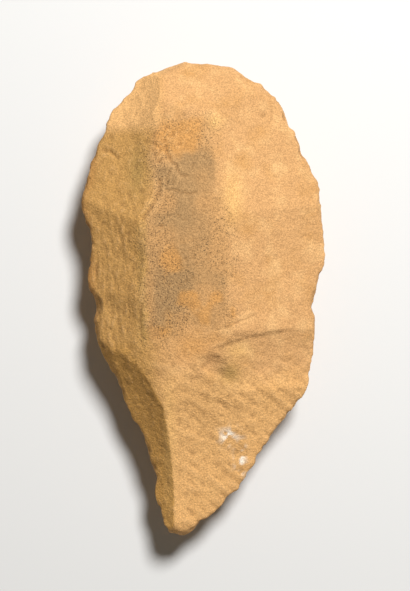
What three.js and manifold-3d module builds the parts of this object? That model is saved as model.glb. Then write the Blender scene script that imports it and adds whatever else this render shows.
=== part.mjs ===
// A stone hand axe: a slab of ochre sandstone flaked all round, from both faces, to an
// almond outline with a thin edge. It is one solid stone with no other piece.
//
// It lies on its flatter face. +Z is up, +Y runs from the point to the butt, and +X is on
// the right of someone who looks down on it with the point towards them. Millimetres.
// The origin is on the ground, below the middle of the outline's length and width.

import * as THREE from "three";
import { mergeVertices } from "three/addons/utils/BufferGeometryUtils.js";
import Module from "manifold-3d";

const wasm = await Module();
wasm.setup();

// ---- Driving sizes ----

const THICKNESS = 35; // from the ground to the old surface on top
const EDGE_HEIGHT = 18; // the edge's mean height over the ground
const EDGE_SWAY = 1.1; // how far the edge winds up and down about that height
const RIM_ANGLE = 66; // the trimmed rim's slope next to the edge, in degrees
const UNDER_BULGE = 1.3; // how far the blank bulges below the ground before it is cut flat
const FACE_RADIUS = 140; // both faces of the slab swell gently, rounder across than along
const FACE_STRETCH = 0.55;

// The middle that the outline is swept round.
const MIDDLE = new THREE.Vector2(0, 8);

// ---- The outline ----

// The edge runs from cusp to cusp, where two flake scars meet. Each row is a cusp's x and y,
// then the bow of the edge from there to the next cusp: above 0 bulges, below 0 is a bite.
// The butt comes first, then the left side down to the point, then the right side back up.
const CUSPS = [
  [-7, 85, -0.4],
  [-16.5, 82, 0.3],
  [-24.7, 77.4, -0.2],
  [-26.2, 73.4, 0.2],
  [-31.5, 68.5, 0.4],
  [-34.6, 63, -0.2],
  [-37.9, 54.5, -0.5],
  [-40.3, 48.8, 0.2],
  [-43.7, 34.5, 0.6],
  [-41.5, 26, -0.9],
  [-40.3, 16, 0.1],
  [-41.8, 8.5, 0.3],
  [-41, 2, -1.8],
  [-39.8, -8.5, -0.4],
  [-38.6, -15.8, 0.1],
  [-33.3, -26, -0.3],
  [-29.3, -35, 0.5],
  [-24.6, -45, -0.9],
  [-19.3, -58, -0.3],
  [-17.1, -66, 0.1],
  [-17.7, -69.5, 0.4],
  [-14.6, -78.5, 0.6],
  [-12.6, -84, 0.7],
  [-6, -84.6, 0.3],
  [-2.5, -81.6, -0.4],
  [2, -78.4, 0.4],
  [6.6, -74, -0.9],
  [12.4, -68.6, -0.2],
  [19, -58, -0.2],
  [22.3, -52.6, -0.6],
  [29.6, -42.5, 0.1],
  [37.4, -32.3, -0.4],
  [39.2, -20.5, 0.2],
  [39.6, -6.5, -1.1],
  [40.6, 3.5, -0.5],
  [42, 9.5, 0.3],
  [43.8, 16, -0.3],
  [43.4, 22.6, -0.5],
  [42.3, 36.5, 0.4],
  [40.2, 43.3, 0.2],
  [35, 52.6, 0.2],
  [33.1, 59.3, -0.7],
  [29, 66, 0.4],
  [25.7, 72, -0.3],
  [20.6, 77, -0.3],
  [15, 79.3, 0],
  [10.5, 82.6, 0],
  [1.4, 84.3, -0.4],
];
const STEPS_PER_SPAN = 3;

// ---- The flake scars ----

// Each scar is a shallow bowl. at: the bottom of the bowl. faces: the compass direction, in
// degrees from +X towards +Y, that it tips towards. slope: how steeply it tips. run: the
// direction of its length. size: its length and width. dish: how far the bowl has risen at
// the ends of its length and width.
const UPPER_SCARS = [
  // Round the butt
  { at: [0, 74, 24.9], faces: 85, slope: 33, run: 87, size: [60, 60], dish: 2 },
  { at: [-27, 66, 22], faces: 137, slope: 35, run: 72, size: [50, 22], dish: 2 },
  // The left side, down to the point
  { at: [-31, 45, 24.6], faces: 163, slope: 28, run: 163, size: [60, 60], dish: 2 },
  { at: [-31, 14, 26.2], faces: 181, slope: 34, run: 90, size: [38, 60], dish: 1.3 },
  { at: [-31, -8, 25.9], faces: 184, slope: 34.5, run: 90, size: [40, 50], dish: 1.5 },
  { at: [-20.5, -46, 20.9], faces: 203, slope: 45, run: 106, size: [60, 40], dish: 2.8 },
  // The right side, from the butt down to the point
  { at: [23, 51, 24.5], faces: 21, slope: 23.5, run: 21, size: [80, 80], dish: 2.4 },
  { at: [26, 10, 26.1], faces: -1, slope: 23.5, run: -1, size: [80, 80], dish: 2.4 },
  { at: [24, -25.5, 24], faces: -10, slope: 21, run: 12, size: [60, 24], dish: 1.6 },
  { at: [22, -42, 22], faces: -35, slope: 24, run: -35, size: [60, 60], dish: 2 },
  { at: [1, -56, 23.4], faces: -47, slope: 16.5, run: -60, size: [76, 60], dish: 3.2 },
  // Short steps where the last flakes broke off inside the stone
  { at: [6.5, -26, 30], faces: -50, slope: 20, run: -36, size: [22, 8], dish: 1 },
  { at: [10, -33, 28.1], faces: -50, slope: 18, run: -34, size: [24, 7], dish: 0.9 },
];

const UNDER_SCARS = [
  { at: [2, 66, 9], faces: 90, slope: 26, run: 90, size: [60, 60], dish: 1.8 },
  { at: [-26, 56, 10], faces: 140, slope: 28, run: 140, size: [60, 60], dish: 1.8 },
  { at: [-28, 16, 8.5], faces: 180, slope: 32, run: 180, size: [60, 60], dish: 1.8 },
  { at: [-22, -28, 9], faces: 205, slope: 33, run: 205, size: [60, 60], dish: 1.8 },
  { at: [-5, -62, 9.8], faces: 250, slope: 20, run: 270, size: [60, 60], dish: 1.6 },
  { at: [20, -38, 10], faces: -38, slope: 27, run: -38, size: [60, 60], dish: 1.6 },
  { at: [29, -2, 9], faces: -2, slope: 30, run: -2, size: [60, 60], dish: 1.8 },
  { at: [28, 44, 9.4], faces: 28, slope: 28, run: 28, size: [60, 60], dish: 1.8 },
];

// ---- Shared helpers ----

const radians = THREE.MathUtils.degToRad;

function solidOf(geometry) {
  geometry.deleteAttribute("normal");
  geometry.deleteAttribute("uv");
  const merged = mergeVertices(geometry, 1e-4);
  return new wasm.Manifold(
    new wasm.Mesh({
      numProp: 3,
      vertProperties: merged.attributes.position.array,
      triVerts: new Uint32Array(merged.index.array),
    }),
  );
}

function geometryOf(solid) {
  const { vertProperties, triVerts } = solid.getMesh();
  const geometry = new THREE.BufferGeometry();
  geometry.setAttribute("position", new THREE.BufferAttribute(vertProperties, 3));
  geometry.setIndex(new THREE.BufferAttribute(triVerts, 1));
  return geometry;
}

// ---- The blank ----

// The edge seen from above, as an even number of points for each span between cusps.
function outlinePoints() {
  const points = [];
  CUSPS.forEach(([x, y, bow], i) => {
    const [nextX, nextY] = CUSPS[(i + 1) % CUSPS.length];
    const from = new THREE.Vector2(x, y);
    const to = new THREE.Vector2(nextX, nextY);
    const along = to.clone().sub(from);
    const outward = new THREE.Vector2(along.y, -along.x).normalize().negate();
    // A quadratic curve's middle is half way to its control point.
    const control = from.clone().lerp(to, 0.5).addScaledVector(outward, -2 * bow);
    const span = new THREE.QuadraticBezierCurve(from, control, to);
    points.push(...span.getPoints(STEPS_PER_SPAN).slice(0, -1));
  });
  return points;
}

function edgeHeight(point) {
  const turn = point.clone().sub(MIDDLE).angle();
  return EDGE_HEIGHT + EDGE_SWAY * (Math.sin(2 * turn + 2.6) + 0.5 * Math.sin(7 * turn));
}

// A ball pressed into the outline: flat in the middle of both faces, and falling to the edge
// at the rim angle.
function blank() {
  const outline = outlinePoints();
  const rings = 32;
  const ball = new THREE.SphereGeometry(1, outline.length, rings);
  const position = ball.attributes.position;
  for (let ring = 0; ring <= rings; ring++) {
    const tilt = (Math.PI * ring) / rings;
    const reach = ring === rings || ring === 0 ? 0 : Math.sin(tilt);
    for (let i = 0; i <= outline.length; i++) {
      const edge = outline[i % outline.length];
      const rim = edgeHeight(edge);
      const radius = edge.distanceTo(MIDDLE);
      const point = MIDDLE.clone().lerp(edge, reach);
      const x = point.x - MIDDLE.x;
      const y = (point.y - MIDDLE.y) * FACE_STRETCH;
      const fall = (x * x + y * y) / (2 * FACE_RADIUS);
      const face = ring < rings / 2 ? THICKNESS - fall : fall - UNDER_BULGE;
      const power = (radius * Math.tan(radians(RIM_ANGLE))) / Math.abs(face - rim);
      const height = THREE.MathUtils.lerp(face, rim, reach ** power);
      position.setXYZ(ring * (outline.length + 1) + i, point.x, point.y, height);
    }
  }
  return solidOf(ball);
}

// ---- The flaking ----

const BOWL_HEIGHT = 45; // half the height of the ball that cuts a bowl, clear of the blank

function bowl({ at, faces, slope, run, size, dish }, side) {
  const normal = new THREE.Vector3(
    Math.sin(radians(slope)) * Math.cos(radians(faces)),
    Math.sin(radians(slope)) * Math.sin(radians(faces)),
    side * Math.cos(radians(slope)),
  );
  const along = new THREE.Vector3(Math.cos(radians(run)), Math.sin(radians(run)), 0);
  along.addScaledVector(normal, -along.dot(normal)).normalize();
  const across = normal.clone().cross(along);
  const spread = Math.sqrt(BOWL_HEIGHT / (2 * dish));
  const centre = new THREE.Vector3(...at).addScaledVector(normal, BOWL_HEIGHT);

  const ball = new THREE.IcosahedronGeometry(1, 15);
  ball.scale((size[0] / 2) * spread, (size[1] / 2) * spread, BOWL_HEIGHT);
  ball.applyMatrix4(new THREE.Matrix4().makeBasis(along, across, normal).setPosition(centre));
  return solidOf(ball);
}

function handAxe() {
  const ground = new THREE.BoxGeometry(300, 300, 40).translate(0, 0, -20);
  let stone = blank().subtract(solidOf(ground));
  for (const scar of UPPER_SCARS) stone = stone.subtract(bowl(scar, 1));
  for (const scar of UNDER_SCARS) stone = stone.subtract(bowl(scar, -1));
  return stone;
}

// ---- The part ----

const sandstone = new THREE.MeshStandardMaterial({
  color: new THREE.Color().setRGB(0.72, 0.42, 0.18),
  roughness: 0.95,
  metalness: 0,
});

const geometry = geometryOf(handAxe());
geometry.computeBoundingBox();
const middle = geometry.boundingBox.getCenter(new THREE.Vector3());
geometry.translate(-middle.x, -middle.y, 0);

const stone = new THREE.Mesh(geometry, sandstone);
stone.name = "hand_axe";

const part = new THREE.Group();
part.add(stone);
export default part;
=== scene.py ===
import itertools
import math

import bpy
import numpy as np
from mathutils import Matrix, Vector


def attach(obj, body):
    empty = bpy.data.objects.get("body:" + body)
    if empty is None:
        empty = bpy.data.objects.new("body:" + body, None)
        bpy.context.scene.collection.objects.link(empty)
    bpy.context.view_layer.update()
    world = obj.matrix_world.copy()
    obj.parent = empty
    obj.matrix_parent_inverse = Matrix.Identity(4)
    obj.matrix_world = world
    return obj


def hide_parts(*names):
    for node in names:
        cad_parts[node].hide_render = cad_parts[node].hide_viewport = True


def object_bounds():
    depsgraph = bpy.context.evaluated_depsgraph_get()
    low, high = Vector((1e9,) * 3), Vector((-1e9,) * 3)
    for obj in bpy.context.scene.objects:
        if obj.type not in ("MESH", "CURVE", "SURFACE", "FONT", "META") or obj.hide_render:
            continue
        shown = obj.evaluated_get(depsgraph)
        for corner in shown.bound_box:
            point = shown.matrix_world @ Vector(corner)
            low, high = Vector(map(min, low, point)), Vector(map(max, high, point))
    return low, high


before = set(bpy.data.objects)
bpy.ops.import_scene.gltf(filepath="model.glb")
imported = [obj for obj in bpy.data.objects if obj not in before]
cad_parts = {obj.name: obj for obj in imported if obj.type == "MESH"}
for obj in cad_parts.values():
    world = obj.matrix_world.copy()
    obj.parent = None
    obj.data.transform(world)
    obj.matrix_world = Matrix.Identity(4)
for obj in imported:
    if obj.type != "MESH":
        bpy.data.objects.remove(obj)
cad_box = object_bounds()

# ---- The stone ----
# One slab of ochre sandstone, flaked from both faces and worn since. Nothing is fixed to it.
# The solid gives its outline and its large flake scars; this section wears its ridges and
# adds the broken grain, the steps, the cracks, the pits and the nicks along the edge.

VOXEL = 0.6  # millimetres between the points of the fine surface
WEAR_PASSES = 1  # how often the ridges are rubbed down
HOLLOW_PASSES = 6  # how widely the surface is averaged to find its hollows
HOLLOW_DEPTH = 0.12  # millimetres below that average where the painted shade is deepest
GROUND_GAP = 0.05  # how far the flat spot is rubbed back, in millimetres
EDGE_PLANE = 18.0  # height of the sharp edge over the ground, in millimetres

# Where the old skin of the slab is left on top: right side going down, left side going up.
OLD_SKIN = [
    (-18, 61), (-14, 63), (-9, 61.5), (-5, 62.5), (-1, 63.5), (2, 63), (3, 60), (2, 54),
    (3.5, 50), (3.5, 43), (5, 36.5), (6, 32), (8, 26), (9, 15), (8, 4), (9, -6), (4, -10),
    (-3, -11), (-10, -15), (-17, -14), (-21, -4), (-20, 10), (-22, 24), (-17, 34),
    (-16, 41), (-19, 48), (-17, 54),
]

# The step where the flake next to the point stopped short, from its left end to the edge.
STEP = [(6, -16.5), (16, -13.5), (27, -11.5), (38.5, -10.5)]
STEP_DEPTH = 0.35
STEP_REACH = 2.6

# Cracks in the skin and the left flank: bent line, depth, width.
CRACKS = [
    ([(-13.4, 53.3), (-12.9, 50.1), (-12, 48.6), (-9.9, 46.8), (-9.3, 45), (-8.1, 43.3),
      (-6, 42.8)], 0.7, 0.75),
    ([(-16.4, 47.4), (-15, 48.7), (-13.1, 48.6)], 0.5, 0.6),
    ([(-18.2, 54.8), (-17, 53.9), (-14, 52.4)], 0.35, 0.6),
    ([(-13.1, 37.9), (-9.6, 37.9), (-7.2, 37), (-5.7, 36.4), (-2.8, 37)], 0.35, 0.9),
    ([(-11.6, 45), (-12.8, 42.4), (-13.1, 38.3)], 0.25, 0.8),
    ([(-15.5, 41.2), (-16.1, 36.5), (-17.9, 32.6), (-21.2, 28.1)], 0.5, 1.6),
    ([(-36, 52.5), (-33, 52), (-30.5, 50)], 0.5, 0.9),
    ([(-22, -3), (-22.4, -9), (-22.2, -16)], 0.35, 1.8),
    ([(7.9, -10.2), (12, -8.5), (17.5, -6)], 0.28, 0.9),
]

# Pits that grains fell out of: x, y, radius, depth.
PITS = [
    (-15, 25.1, 0.7, 0.8), (-26.5, 22.6, 0.7, 0.5), (-6.4, 13.7, 0.6, 0.45),
    (-4.2, 14.2, 0.5, 0.3), (8.6, 26.8, 0.5, 0.3), (9.5, 25.3, 0.5, 0.3),
    (4.9, 10.8, 0.5, 0.3), (10, 8, 0.5, 0.3), (-4.4, -17.7, 0.5, 0.35),
    (-7.2, -19, 0.5, 0.35), (5, -20.9, 0.5, 0.35), (7.4, -21.6, 0.5, 0.3),
    (21, 65, 1.4, 0.35),
]
NICKS = 170  # chips out of the sharp edge
NICK_RADIUS = (0.9, 2.6)
NICK_DEPTH = 0.22  # as a share of the radius
TEAR_TURN = math.radians(-38)  # the way the torn lines run below the step


def lattice_noise(points, size, seed):
    """Smooth noise between -1 and 1, in lumps about size millimetres across."""
    table = np.random.default_rng(seed).uniform(-1, 1, (32, 32, 32))
    grid = points / size
    low = np.floor(grid).astype(int)
    part = grid - low
    part = part * part * (3 - 2 * part)
    total = np.zeros(len(points))
    for corner in itertools.product((0, 1), repeat=3):
        cell = (low + corner) % 32
        weight = np.prod(np.where(corner, part, 1 - part), axis=1)
        total += weight * table[cell[:, 0], cell[:, 1], cell[:, 2]]
    return total


def smooth_step(value, low, high):
    part = np.clip((value - low) / (high - low), 0, 1)
    return part * part * (3 - 2 * part)


def line_distance(plan, line):
    """How far each point is from a bent line, and how far to the left of it, seen from above."""
    best = np.full(len(plan), np.inf)
    side = np.zeros(len(plan))
    for start, end in zip(line[:-1], line[1:]):
        start, along = np.array(start, float), np.subtract(end, start).astype(float)
        part = np.clip((plan - start) @ along / (along @ along), 0, 1)
        away = plan - start - part[:, None] * along
        length = np.hypot(away[:, 0], away[:, 1])
        nearer = length < best
        best[nearer] = length[nearer]
        side[nearer] = np.sign(along[0] * away[:, 1] - along[1] * away[:, 0])[nearer]
    return best, best * side


def inside_distance(plan, ring):
    """Distance inside a closed ring, seen from above: above 0 inside, below 0 outside."""
    best, _ = line_distance(plan, ring + ring[:1])
    inside = np.zeros(len(plan), bool)
    for (x0, y0), (x1, y1) in zip(ring, ring[1:] + ring[:1]):
        crosses = (y0 > plan[:, 1]) != (y1 > plan[:, 1])
        at = x0 + (plan[:, 1] - y0) * (x1 - x0) / (y1 - y0 if y1 != y0 else 1)
        inside ^= crosses & (plan[:, 0] < at)
    return np.where(inside, best, -best)


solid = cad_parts["hand_axe"]
shell = bpy.data.objects.new("fine_shell", solid.data.copy())
bpy.context.scene.collection.objects.link(shell)
weld = shell.modifiers.new("weld", "WELD")
weld.merge_threshold = 1e-6
remesh = shell.modifiers.new("fine", "REMESH")
remesh.mode = "VOXEL"
remesh.voxel_size = VOXEL / 1000
remesh.use_smooth_shade = True
evaluated = shell.evaluated_get(bpy.context.evaluated_depsgraph_get())
fine = bpy.data.meshes.new_from_object(evaluated)
bpy.data.objects.remove(shell)
fine.name = "worn_stone"
fine.materials.clear()

count = len(fine.vertices)
place = np.empty(count * 3)
fine.vertices.foreach_get("co", place)
place = place.reshape(-1, 3) * 1000
edges = np.empty(len(fine.edges) * 2, int)
fine.edges.foreach_get("vertices", edges)
edges = edges.reshape(-1, 2)
valence = np.bincount(edges.ravel(), minlength=count).astype(float)


def neighbour_mean(values):
    total = np.zeros_like(values)
    np.add.at(total, edges[:, 0], values[edges[:, 1]])
    np.add.at(total, edges[:, 1], values[edges[:, 0]])
    return total / (valence[:, None] if values.ndim == 2 else valence)


for _ in range(WEAR_PASSES):
    place += 0.5 * (neighbour_mean(place) - place)
fine.vertices.foreach_set("co", (place / 1000).ravel())
fine.update()
normal = np.empty(count * 3)
fine.vertices.foreach_get("normal", normal)
normal = normal.reshape(-1, 3)

plan = place[:, :2]
top = smooth_step(normal[:, 2], 0.05, 0.35)
skin_depth = inside_distance(plan, OLD_SKIN)
warp = 1.6 * lattice_noise(place, 5.0, 21) + 0.8 * lattice_noise(place, 2.0, 22)
skin = smooth_step(skin_depth + 1.3 * warp, -2.2, 2.2) * top

# Broken grain all over: long swells, knobbly lumps, then the grains themselves. The flanks
# below the ridges broke rougher than the broad scars, whose grain lies in short rows.
rough = top * np.maximum(smooth_step(-plan[:, 0], 12, 24), smooth_step(-plan[:, 1], 14, 24))
row_shape = np.array([2.6, 1.0, 1.2])
rise = 0.30 * lattice_noise(place, 11.0, 1)
rise += 0.10 * lattice_noise(place, 4.5, 2)
rise += (0.06 + 0.10 * rough) * lattice_noise(place, 2.2, 3)
rise += 0.07 * lattice_noise(place / row_shape, 0.9, 8) * (1 - rough) * (1 - skin)
rise += (0.05 + 0.05 * rough) * lattice_noise(place, 1.1, 4)

# The old skin is crackled, and most deeply towards the butt.
crackle = np.abs(lattice_noise(place, 2.4, 9)) + 0.5 * np.abs(lattice_noise(place, 1.2, 10))
crackle_depth = (0.18 + 0.25 * smooth_step(plan[:, 1], 46, 53)) * skin
rise -= crackle_depth * smooth_step(0.30 - crackle, 0.0, 0.30)

# The left flank broke in long splinters that run the length of the stone.
flank = top * smooth_step(-plan[:, 0], 20, 26) * smooth_step(plan[:, 1], -22, -17)
flank *= smooth_step(-plan[:, 1], -32, -28)
splinter = lattice_noise(place, np.array([1.2, 3.4, 1.4]), 5)
rise += 0.20 * flank * splinter

# Below the step the flakes tore in fan-like lines towards the edge.
across = plan @ np.array([-math.sin(TEAR_TURN), math.cos(TEAR_TURN)])
along = plan @ np.array([math.cos(TEAR_TURN), math.sin(TEAR_TURN)])
torn = lattice_noise(np.column_stack([along / 7.0, across / 1.7, place[:, 2] / 9]), 1.0, 6)
fan = top * smooth_step(-plan[:, 1], 18, 26) * smooth_step(plan[:, 0], -12, -4)
rise += 0.26 * fan * torn

# The step, the cracks and the pits.
gap, left_of = line_distance(plan, STEP)
below = smooth_step(-left_of, -0.6, 0.6) * smooth_step(-plan[:, 0], -36, -26)
rise -= STEP_DEPTH * below * np.exp(-gap / STEP_REACH) * top
for line, depth, width in CRACKS:
    wander = 0.45 * lattice_noise(place, 1.6, 31)
    gap, _ = line_distance(plan + wander[:, None], line)
    rise -= depth * np.exp(-((gap / (width / 2)) ** 2)) * top
for x, y, radius, depth in PITS:
    gap = np.hypot(plan[:, 0] - x, plan[:, 1] - y)
    rise -= depth * np.exp(-((gap / radius) ** 2)) * top

# Nicks along the sharp edge.
rng = np.random.default_rng(7)
rim = np.flatnonzero(np.abs(normal[:, 2]) < 0.4)
for at in rng.choice(rim, NICKS, replace=False):
    radius = rng.uniform(*NICK_RADIUS)
    near = np.flatnonzero(np.abs(place - place[at]).max(axis=1) < radius)
    gap = np.linalg.norm(place[near] - place[at], axis=1)
    rise[near] -= NICK_DEPTH * radius * (1 - np.clip(gap / radius, 0, 1) ** 2) ** 2

# The ground side keeps its flat spot, so nothing grows below it.
ground = smooth_step(place[:, 2], 0.2, 2.0)
rise = rise * ground - GROUND_GAP * (1 - ground)
place = place + normal * rise[:, None]
low, high = np.array(cad_box[0]) * 1000, np.array(cad_box[1]) * 1000
place = np.clip(place, low, high)
fine.vertices.foreach_set("co", (place / 1000).ravel())

# How hollow the surface is round each point: the hollows get painted shade and the ridges a
# painted highlight.
wide = rise.copy()
for _ in range(HOLLOW_PASSES):
    wide = neighbour_mean(wide)
hollow = np.clip((wide - rise) / HOLLOW_DEPTH, -1, 1)

# Where each finish, each painted shade and each painted highlight lies. Every one is a share
# from 0 to 1 at each point of the surface.


def patch(x, y, wide, long):
    """A soft spot seen from above, 1 in its middle."""
    return np.exp(-(((plan[:, 0] - x) / wide) ** 2 + ((plan[:, 1] - y) / long) ** 2))


# Painted shade: the steep facets near the point that face away from the lamp get the deeper,
# less blue colour that shade gives them.
shaded_scar = top * smooth_step(-normal[:, 0], 0.42, 0.55) * smooth_step(-plan[:, 1], 14, 20)
butt_left = top * smooth_step(-plan[:, 0], 14.5, 17.5) * smooth_step(plan[:, 1], 57, 62)
point = top * smooth_step(-plan[:, 1] + 2 * warp, 22, 34)
# Partly painted shade: the left flank gets its own darker tone together with the deeper, less
# blue colour that shade gives the facets turned from the lamp.
flank = smooth_step(-plan[:, 0], 12, 22) * top * (1 - skin)

butt_end = smooth_step(plan[:, 1] + 3 * warp, 50, 56) * smooth_step(3 - plan[:, 0], 2, 6)
blotches = smooth_step(lattice_noise(place, 6.0, 42) + warp * 0.3, 0.1, 0.6)
blotches *= smooth_step(22 - plan[:, 1], 0, 8)
orange = np.maximum(skin * np.maximum(butt_end, blotches), 0.8 * top * patch(-4, -17, 7, 5))

# Painted highlights: pale gold on the lit side of the ridge near the point, on the lit slope
# right of the old skin, at the skin's top right corner and on the strip below the step.
beside_ridge = patch(-12.5, -52, 2.6, 26) * smooth_step(plan[:, 0], -16, -13)
painted_highlight = top * np.maximum.reduce([
    patch(10, 35, 3.4, 9), patch(12, -18.5, 4.5, 3.2), patch(4, 62, 2.2, 3), 0.8 * beside_ridge])

below_skin = patch(-21.5, 0, 1.8, np.inf) * smooth_step(30 - plan[:, 1], 0, 8)
below_skin *= smooth_step(plan[:, 1], -20, -12)
olive = top * np.maximum.reduce([
    patch(-23.5, 45, 3.5, 9), patch(9, -26.5, 4, 4), 0.7 * below_skin])

greyness = lattice_noise(place, 7.0, 41) + 0.9 * patch(0, 41, np.inf, 7)
greyness += 0.8 * patch(-15, 8, 6, 20) - 0.6 * smooth_step(plan[:, 1], 50, 56)
grey = skin * smooth_step(greyness, 0.0, 0.9)

sooty = smooth_step(skin_depth + 2.5 * warp, -9, 1) * top
left_share = 0.6 * smooth_step(-plan[:, 0], 4, 14)
sooty *= smooth_step(lattice_noise(place, 8.0, 43) + left_share, -0.6, 0.5)

edge_gap = np.abs(place[:, 2] - EDGE_PLANE)
rust = smooth_step(-plan[:, 0], 36, 40) * smooth_step(4.5 - edge_gap, 0, 3) * top

bruise = top * np.maximum(patch(9, -49, 3.2, 2.6), patch(13, -57, 1.8, 6))
bruise *= smooth_step(lattice_noise(place, 1.5, 51), 0.0, 0.35)

for name, values in (
    ("shaded_scar", shaded_scar), ("butt_left", butt_left), ("orange", orange), ("painted_highlight", painted_highlight),
    ("point", point), ("olive", olive), ("skin", skin), ("grey", grey), ("rust", rust),
    ("bruise", bruise), ("hollow", hollow), ("sooty", sooty), ("flank", flank),
):
    layer = fine.attributes.new(name, "FLOAT", "POINT")
    layer.data.foreach_set("value", values.astype(np.float32))

stone = bpy.data.objects.new("worn_stone", fine)
bpy.context.scene.collection.objects.link(stone)

sandstone = bpy.data.materials.new("sandstone")
sandstone.use_nodes = True
tree = sandstone.node_tree
nodes, links = tree.nodes, tree.links
shader = nodes["Principled BSDF"]
shader.inputs["Roughness"].default_value = 0.92
shader.inputs["Specular IOR Level"].default_value = 0.25


def node(kind, **values):
    made = nodes.new(kind)
    for name, value in values.items():
        setattr(made, name, value)
    return made


def mask(name):
    return node("ShaderNodeAttribute", attribute_name=name).outputs["Fac"]


spot = node("ShaderNodeTexCoord").outputs["Object"]


def speckle(scale, detail=2.0, roughness=0.5):
    made = node("ShaderNodeTexNoise")
    made.inputs["Scale"].default_value = scale
    made.inputs["Detail"].default_value = detail
    made.inputs["Roughness"].default_value = roughness
    links.new(spot, made.inputs["Vector"])
    return made.outputs["Fac"]


def ramp(value, low, high, bottom=0.0, top=1.0):
    made = node("ShaderNodeMapRange")
    made.inputs["From Min"].default_value = low
    made.inputs["From Max"].default_value = high
    made.inputs["To Min"].default_value = bottom
    made.inputs["To Max"].default_value = top
    links.new(value, made.inputs["Value"])
    return made.outputs["Result"]


def times(first, second):
    made = node("ShaderNodeMath", operation="MULTIPLY")
    for socket, value in zip(made.inputs, (first, second)):
        if isinstance(value, (int, float)):
            socket.default_value = value
        else:
            links.new(value, socket)
    return made.outputs["Value"]


def mixed(below, above, amount, blend="MIX"):
    made = node("ShaderNodeMix", data_type="RGBA", blend_type=blend)
    factor, _, _, _, _, _, first, second = made.inputs[:8]
    for socket, value in ((first, below), (second, above), (factor, amount)):
        if isinstance(value, tuple):
            socket.default_value = (*value, 1.0)
        elif isinstance(value, (int, float)):
            socket.default_value = value
        else:
            links.new(value, socket)
    return made.outputs[2]


OCHRE = (0.61, 0.335, 0.136)
DEEP_OCHRE = (0.56, 0.295, 0.104)
PALE_OCHRE = (0.72, 0.425, 0.18)
POINT_OCHRE = (0.76, 0.425, 0.155)
FLANK_TONE_AND_SHADE = (0.56, 0.305, 0.085)
SKIN = (0.54, 0.295, 0.115)
SKIN_GREY = (0.40, 0.235, 0.100)
RUST = (0.42, 0.185, 0.05)
WHITE = (0.97, 0.88, 0.74)
HOLLOW_SHADE = (0.30, 0.155, 0.055)
BLACK_GRAIN = (0.10, 0.062, 0.03)
BUTT_PALE = (0.74, 0.42, 0.165)
ORANGE = (0.62, 0.30, 0.085)
HIGHLIGHT_GOLD = (0.84, 0.50, 0.17)
OLIVE = (0.42, 0.26, 0.08)
SHADED_SCAR_BROWN = (0.62, 0.33, 0.088)

colour = mixed(OCHRE, DEEP_OCHRE, ramp(speckle(90, 3), 0.5, 0.72))
colour = mixed(colour, PALE_OCHRE, ramp(speckle(140, 3), 0.5, 0.75))
colour = mixed(colour, POINT_OCHRE, times(mask("point"), 0.7))
# The left flank's own darker tone, with painted shade in its deeper, less blue hue.
colour = mixed(colour, FLANK_TONE_AND_SHADE, times(mask("flank"), 0.8))
colour = mixed(colour, SKIN, mask("skin"))
colour = mixed(colour, SKIN_GREY, mask("grey"))
colour = mixed(colour, RUST, times(mask("rust"), 0.55))
colour = mixed(colour, ORANGE, times(mask("orange"), 0.75))
# Painted shade: the deeper, less blue colour of shade on the facets near the point that face
# away from the lamp.
colour = mixed(colour, SHADED_SCAR_BROWN, mask("shaded_scar"))
colour = mixed(colour, BUTT_PALE, mask("butt_left"))
# Painted highlights on the lit slopes and ridges.
colour = mixed(colour, HIGHLIGHT_GOLD, times(mask("painted_highlight"), 0.5))
colour = mixed(colour, OLIVE, times(mask("olive"), 0.7))
# Painted shade in the hollows of the broken grain, the cracks and the pits.
colour = mixed(colour, HOLLOW_SHADE, times(ramp(mask("hollow"), 0.1, 1.0), 0.45))
# Painted highlight: pale ochre on the small ridges of the broken grain.
colour = mixed(colour, PALE_OCHRE, times(ramp(mask("hollow"), -0.1, -1.0), 0.35))
colour = mixed(colour, WHITE, mask("bruise"))
grains = ramp(speckle(2000, 1.0, 0.6), 0.36, 0.64, 0.82, 1.18)
grey_level = node("ShaderNodeCombineColor")
for socket in grey_level.inputs:
    links.new(grains, socket)
colour = mixed(colour, grey_level.outputs["Color"], 1.0, "MULTIPLY")
dark_grains = ramp(speckle(2100, 1.5, 0.6), 0.54, 0.66)
sootiness = ramp(mask("sooty"), 0, 1, 0.12, 0.85)
colour = mixed(colour, BLACK_GRAIN, times(dark_grains, sootiness))
links.new(colour, shader.inputs["Base Color"])

bump = node("ShaderNodeBump")
bump.inputs["Distance"].default_value = 0.0005
bump.inputs["Strength"].default_value = 0.8
links.new(speckle(1300, 3.0, 0.65), bump.inputs["Height"])
links.new(bump.outputs["Normal"], shader.inputs["Normal"])

fine.materials.append(sandstone)
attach(stone, "root")
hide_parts("hand_axe")

# ---- The floor ----
# A plain pale board that the stone lies on. It isn't part of the object.

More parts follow.
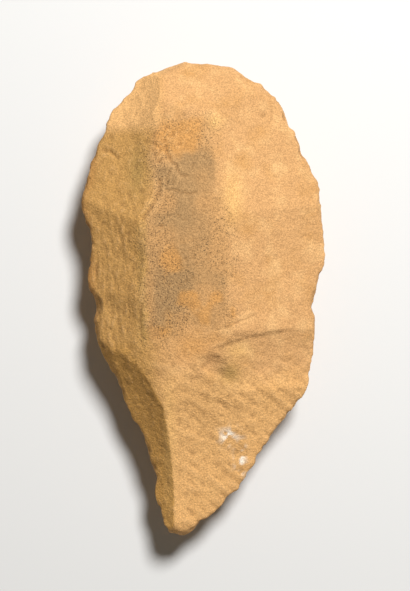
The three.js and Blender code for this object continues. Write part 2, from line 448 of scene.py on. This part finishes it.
FLOOR_HALF = 3.0
FLOOR_PALE = (0.72, 0.72, 0.71, 1)
floor_mesh = bpy.data.meshes.new("floor")
floor_mesh.from_pydata(
    [(-FLOOR_HALF, -FLOOR_HALF, 0), (FLOOR_HALF, -FLOOR_HALF, 0),
     (FLOOR_HALF, FLOOR_HALF, 0), (-FLOOR_HALF, FLOOR_HALF, 0)], [], [(0, 1, 2, 3)])
floor = bpy.data.objects.new("floor", floor_mesh)
bpy.context.scene.collection.objects.link(floor)
board = bpy.data.materials.new("pale_board")
board.use_nodes = True
board_shader = board.node_tree.nodes["Principled BSDF"]
board_shader.inputs["Base Color"].default_value = FLOOR_PALE
board_shader.inputs["Roughness"].default_value = 0.9
floor_mesh.materials.append(board)

# ---- The light and the camera ----
# One large soft lamp above the butt and a little to its right, a pale room round it, and a
# long lens that looks straight down.

LAMP_AWAY = 1.1
LAMP_TURN = math.radians(62)
LAMP_HEIGHT = math.radians(57)
lamp_data = bpy.data.lights.new("soft_lamp", "AREA")
lamp_data.shape = "DISK"
lamp_data.size = 0.3
lamp_data.energy = 16.3
lamp = bpy.data.objects.new("soft_lamp", lamp_data)
lamp.location = (
    LAMP_AWAY * math.cos(LAMP_HEIGHT) * math.cos(LAMP_TURN),
    LAMP_AWAY * math.cos(LAMP_HEIGHT) * math.sin(LAMP_TURN),
    LAMP_AWAY * math.sin(LAMP_HEIGHT))
lamp.rotation_euler = (math.pi / 2 - LAMP_HEIGHT, 0, LAMP_TURN + math.pi / 2)
bpy.context.scene.collection.objects.link(lamp)

room = bpy.data.worlds.new("room")
room.use_nodes = True
room.node_tree.nodes["Background"].inputs["Color"].default_value = (1.0, 0.88, 0.72, 1)
room.node_tree.nodes["Background"].inputs["Strength"].default_value = 0.12
bpy.context.scene.world = room
bpy.context.scene.view_settings.view_transform = "Standard"

LENS = 120.0
SENSOR = 36.0
VIEW_LENGTH = 0.2115  # how much of the scene's length the picture takes in, at the edge
camera_data = bpy.data.cameras.new("camera")
camera_data.lens = LENS
camera_data.sensor_width = SENSOR
camera = bpy.data.objects.new("camera", camera_data)
camera.location = (0.0004, 0.0009, EDGE_PLANE / 1000 + VIEW_LENGTH * LENS / SENSOR)
bpy.context.scene.collection.objects.link(camera)
bpy.context.scene.camera = camera
